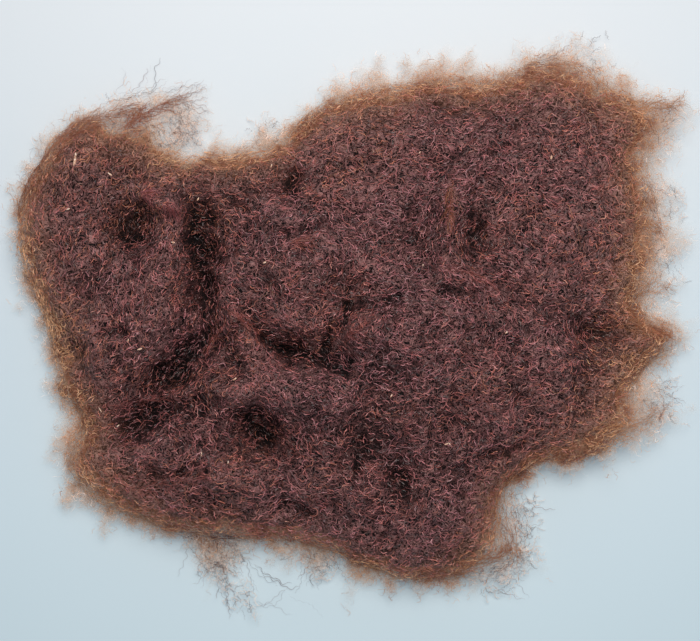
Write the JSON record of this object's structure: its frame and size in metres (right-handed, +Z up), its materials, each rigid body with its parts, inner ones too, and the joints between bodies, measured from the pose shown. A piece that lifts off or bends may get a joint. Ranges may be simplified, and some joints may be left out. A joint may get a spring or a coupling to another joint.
{
  "type": "wool tuft",
  "caption": "Loose teased tuft of brown wool lying flat: a lumpy matted slab with creases and hollows, thinning to a ragged rim of short pointed locks.",
  "frame": {"origin": "on the surface it rests on, below the middle of its outline", "axes": "+X along its length, towards the thin feathered end; +Y across; +Z up"},
  "size_m": [0.2094, 0.1742, 0.0312],
  "materials": {
    "wool": "matted loose fibre, matt"
  },
  "bodies": {
    "root": {"wool_tuft": "wool"}
  },
  "joints": []
}
